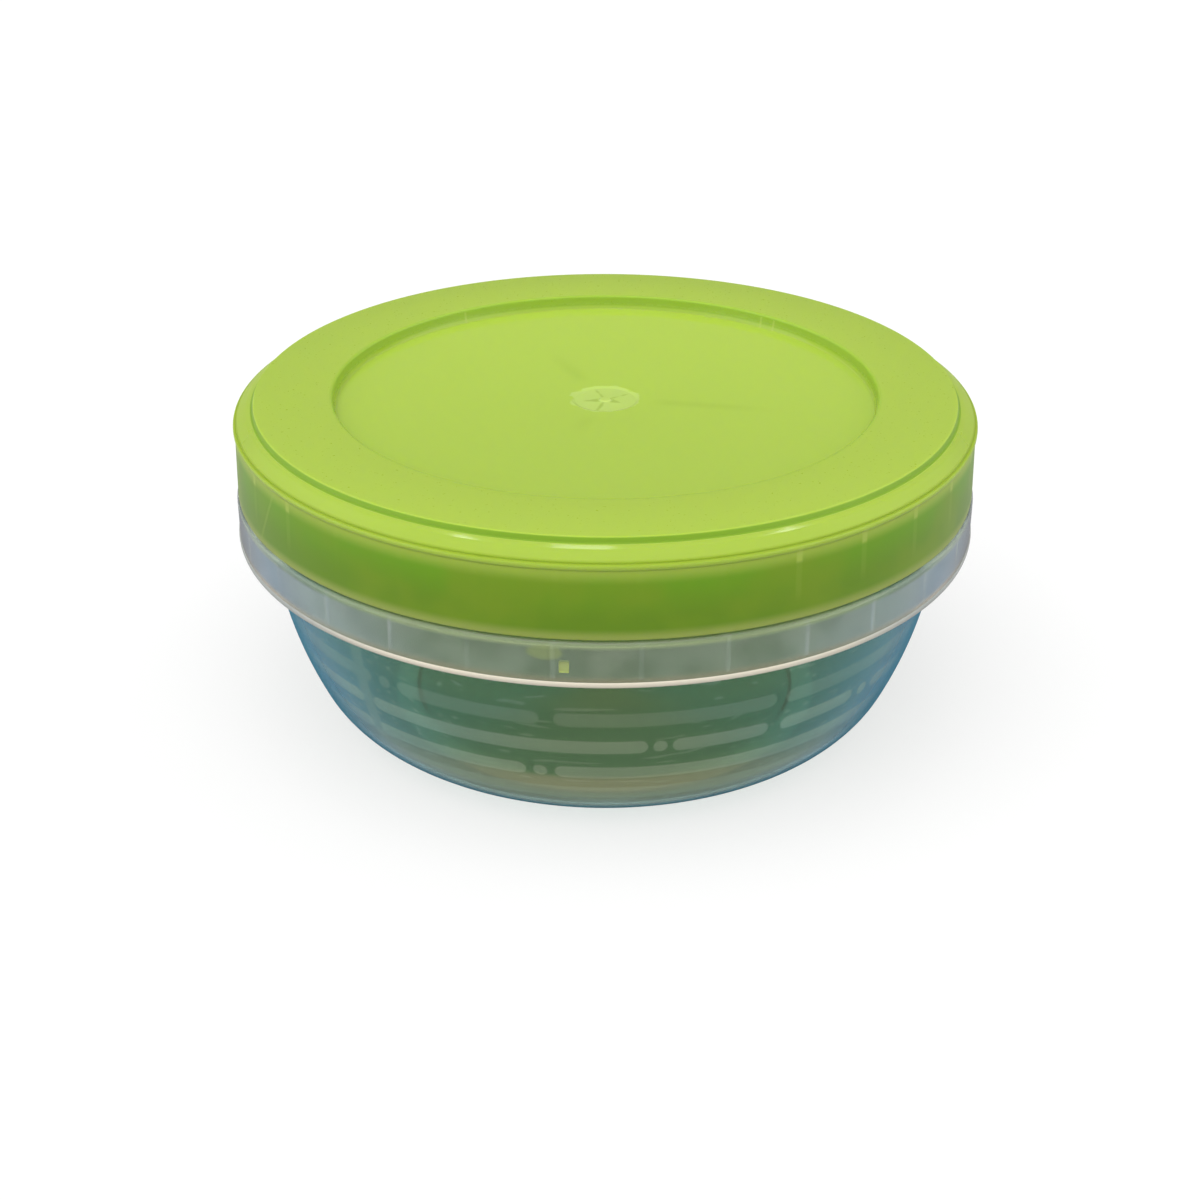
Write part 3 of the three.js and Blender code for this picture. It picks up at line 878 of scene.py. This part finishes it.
smear_azimuth, smear_height = -8.0, collar_top - 2.4
smear_away = round_distance(t, place["Azimuth"], smear_azimuth, place["Radius"])
smear_up = times(t, maths(t, "SUBTRACT", place["Height"], smear_height), 2.2)
smear = maths(t, "ADD", long_side(t, smear_away, smear_up), times(t, surface["Waves"], 4.0))
collar_tint = blend(t, ramp(t, smear, 6.2, 5.2, 0.0, 0.8), collar_tint, smear_colour)
gap_middle, gap_half = (neck + collar_bore) / 2, (collar_bore - neck) / 2
behind_collar = times(t, band(t, place["Radius"], gap_middle, gap_half - 0.6, 0.3),
                      ramp(t, place["Height"], collar_top - 1.4, collar_top - 1.6))
collar_tint = blend(t, behind_collar, collar_tint, (1, 1, 1, 1))
tint = blend(t, outside, body_tint, collar_tint)
print("collar tint is ready")

# %% [markdown]
# At the very outline the wall is seen edge on, and a second Layer Weight node mixes in a plain
# shell of deep blue there, painted for the blue surroundings that the edge-on wall shows, and grey
# on the collar. Shadow rays and diffuse rays go through a Transparent shader instead,
# because refracted lamp light takes far too many samples.

# %% Bowl material
body_gloss = mix_number(t, frost, ramp(t, surface["Waves"], 0.2, 0.8, 0.03, 0.05), 0.11)
gloss = mix_number(t, outside, body_gloss, 0.20)
bump = add(t, "ShaderNodeBump", {"Height": surface["Waves"], "Strength": 0.1, "Distance": 0.02 * MM})
glass = add(t, "ShaderNodeBsdfPrincipled", {
    "Base Color": tint, "Roughness": gloss, "Normal": bump.outputs[0],
    "IOR": 1.49, "Specular IOR Level": 0.3, "Transmission Weight": 0.85,
    "Coat Weight": times(t, outside, 0.6), "Coat Roughness": 0.05})
edge_colour = blend(t, outside, (0.078, 0.285, 0.415, 1), (0.17, 0.18, 0.19, 1))
edge_shell = add(t, "ShaderNodeBsdfPrincipled", {
    "Base Color": edge_colour, "Roughness": 0.6, "Specular IOR Level": 0.0})
at_outline = times(t, ramp(t, facing, 0.64, 0.92), mix_number(t, outside, 0.9, 0.5))
plastic = add(t, "ShaderNodeMixShader", {0: at_outline, 1: glass.outputs[0], 2: edge_shell.outputs[0]})
open_way = add(t, "ShaderNodeBsdfTransparent", {"Color": (0.75, 0.85, 0.82, 1)})
path = add(t, "ShaderNodeLightPath").outputs
lamp_ray = maths(t, "MAXIMUM", path["Is Shadow Ray"], path["Is Diffuse Ray"])
either = add(t, "ShaderNodeMixShader", {0: lamp_ray, 1: plastic.outputs[0], 2: open_way.outputs[0]})
t.links.new(either.outputs[0], add(t, "ShaderNodeOutputMaterial").inputs["Surface"])
bowl.data.materials.append(clear)
print("clear_plastic is on", bowl.name)

# %% [markdown]
# The collar's lower rim catches light from inside the wall and shows as a bright line, so its
# faces get a painted paler colour and a faint painted glow of their own, painted darker towards the
# sides.

# %% Rim with painted light
rim_plastic, t = new_material("bright_rim")
place = use(t, place_group)
surface = use(t, moulded_group, Point=place["Point"])
rim_sideways = add(t, "ShaderNodeLayerWeight", {"Blend": 0.5, "Normal": place["Outwards"]})
rim_side_shade = ramp(t, rim_sideways.outputs["Facing"], 0.22, 0.62)
rim_colour = blend(t, surface["Waves"], (0.86, 0.76, 0.60, 1), (0.78, 0.73, 0.62, 1))
rim_colour = blend(t, rim_side_shade, rim_colour, (0.42, 0.44, 0.42, 1))
rim_shader = add(t, "ShaderNodeBsdfPrincipled", {
    "Base Color": rim_colour, "Roughness": 0.22, "IOR": 1.49, "Transmission Weight": 0.1,
    "Emission Color": rim_colour, "Emission Strength": 0.06})
t.links.new(rim_shader.outputs[0], add(t, "ShaderNodeOutputMaterial").inputs["Surface"])
bowl.data.materials.append(rim_plastic)
rim_faces = 0
for polygon in bowl.data.polygons:
    radius = Vector(polygon.center[:2]).length / MM
    if radius > collar + 0.02 and polygon.center.z / MM < collar_low + rim_height:
        polygon.material_index = 1
        rim_faces += 1
print("bright_rim is on", rim_faces, "faces")

# %% [markdown]
# The ribs' own faces are almost see-through, like a thin clear film.

# %% Rib finish
rib_plastic, t = new_material("clear_rib")
surface = use(t, moulded_group, Point=use(t, place_group)["Point"])
rib_shader = add(t, "ShaderNodeBsdfPrincipled", {
    "Base Color": blend(t, surface["Grain"], (0.86, 0.89, 0.88, 1), (0.78, 0.82, 0.80, 1)),
    "Roughness": 0.3, "Alpha": ramp(t, surface["Waves"], 0.3, 0.7, 0.06, 0.16)})
t.links.new(rib_shader.outputs[0], add(t, "ShaderNodeOutputMaterial").inputs["Surface"])
bowl.data.materials.append(rib_plastic)
for index in rib_faces:
    bowl.data.polygons[index].material_index = 2
print("clear_rib is on", len(rib_faces), "faces")

# %% [markdown]
# The small square pad on the collar's inner side is a pale yellow-green that shows through.

# %% Pad finish
pad_plastic, t = new_material("pale_pad")
surface = use(t, moulded_group, Point=use(t, place_group)["Point"])
pad_colour = blend(t, surface["Grain"], (0.84, 0.84, 0.20, 1), (0.74, 0.76, 0.26, 1))
pad_shader = add(t, "ShaderNodeBsdfPrincipled", {"Base Color": pad_colour, "Roughness": 0.4})
t.links.new(pad_shader.outputs[0], add(t, "ShaderNodeOutputMaterial").inputs["Surface"])
bowl.data.materials.append(pad_plastic)
pad_faces, pad_half_angle = 0, 0.75
for polygon in bowl.data.polygons:
    x, y, z = polygon.center / MM
    off_pad = abs(math.degrees(math.atan2(x, -y)) - pad_azimuth)
    at_pad_radius = collar_bore - pad_proud - 0.1 < math.hypot(x, y) < collar_bore - 0.05
    at_pad_height = abs(z - pad_middle) < pad_height / 2 + 0.05
    if off_pad < pad_half_angle and at_pad_radius and at_pad_height:
        polygon.material_index = 3
        pad_faces += 1
print("pale_pad is on", pad_faces, "faces")

# %% [markdown]
# ## Floor and light
# The floor is a plain pale sheet. It also glows where rays see it directly, so that the background
# is white while the soft shadow stays.

# %% Floor and backdrop
deselect_all()
bpy.ops.mesh.primitive_circle_add(vertices=96, radius=4.0, fill_type="NGON", location=(0, 0, 0))
floor = bpy.context.object
floor.name = "floor"

pale, t = new_material("pale_floor")
sheet = add(t, "ShaderNodeBsdfDiffuse", {"Color": (0.35, 0.35, 0.35, 1)})
glow = add(t, "ShaderNodeEmission", {"Color": (1, 1, 1, 1), "Strength": 0.65})
rays = add(t, "ShaderNodeLightPath").outputs
bounced = maths(t, "MAXIMUM", times(t, rays["Is Glossy Ray"], 0.3), rays["Is Transmission Ray"])
seen = maths(t, "MAXIMUM", rays["Is Camera Ray"], bounced)
seen_glow = add(t, "ShaderNodeMixShader", {0: seen, 2: glow.outputs[0]})
both = add(t, "ShaderNodeAddShader", {0: sheet.outputs[0], 1: seen_glow.outputs[0]})
t.links.new(both.outputs[0], add(t, "ShaderNodeOutputMaterial").inputs["Surface"])
floor.data.materials.append(pale)
print("floor has", len(floor.data.polygons), "faces")

# %% [markdown]
# The world fills in from above, from the front and from both sides, and glossy rays see it darker
# at the back. For the camera and through clear plastic it is plain white.

# %% World
world = bpy.data.worlds.new("studio")
bpy.context.scene.world = world
world.use_nodes = True
t = world.node_tree
t.nodes.clear()
direction = add(t, "ShaderNodeTexCoord").outputs["Generated"]
to_side, away, upwards = add(t, "ShaderNodeSeparateXYZ", {0: direction}).outputs
overhead = ramp(t, upwards, 0.0, 0.9, 0.22, 0.60)
level = maths(t, "ADD", overhead, ramp(t, away, 0.2, -0.9, 0.0, 0.30))
level = maths(t, "ADD", level, ramp(t, maths(t, "ABSOLUTE", to_side), 0.5, 1.0, 0.0, 0.95))
rays = add(t, "ShaderNodeLightPath").outputs
seen = maths(t, "MAXIMUM", rays["Is Camera Ray"], rays["Is Transmission Ray"])
dark_back = times(t, rays["Is Glossy Ray"], ramp(t, away, 0.1, 0.5, 0.0, 0.3))
level = times(t, level, maths(t, "SUBTRACT", 1.0, dark_back))
level = mix_number(t, seen, level, 1.0)
t.links.new(add(t, "ShaderNodeBackground", {"Color": (1, 1, 1, 1), "Strength": level}).outputs[0],
            add(t, "ShaderNodeOutputWorld").inputs["Surface"])
print("world has", len(t.nodes), "nodes")

# %% [markdown]
# One wide soft lamp from above gives the even light of a studio. Four small panels near the
# ceiling are only there to be mirrored as short streaks on the glossy shoulder.

# %% Lamps
key_data = bpy.data.lights.new("soft_key", "SUN")
key_data.energy = 1.47
key_data.angle = math.radians(60)
key = bpy.data.objects.new("soft_key", key_data)
bpy.context.scene.collection.objects.link(key)
key.rotation_euler = (math.radians(24), math.radians(-8), 0)
key.visible_glossy = False

# Each panel is its name, its place and its width in metres, and its level.
PANELS = (
    ("left", -0.58, 0.187, 0.115, 7),
    ("middle", -0.09, -0.006, 0.245, 4.5),
    ("right", 0.735, 0.305, 0.19, 7),
    ("far_right", 0.857, 0.405, 0.04, 8),
)
PANEL_HEIGHT, PANEL_DEPTH = 1.6, 0.12
for name, x, y, width, level in PANELS:
    panel_data = bpy.data.lights.new("ceiling_" + name, "AREA")
    panel_data.shape, panel_data.size, panel_data.size_y = "RECTANGLE", width, PANEL_DEPTH
    panel_data.energy = level * math.pi * width * PANEL_DEPTH
    panel = bpy.data.objects.new("ceiling_" + name, panel_data)
    bpy.context.scene.collection.objects.link(panel)
    panel.location = (x, y, PANEL_HEIGHT)
    panel.visible_diffuse = False
    panel.visible_transmission = False
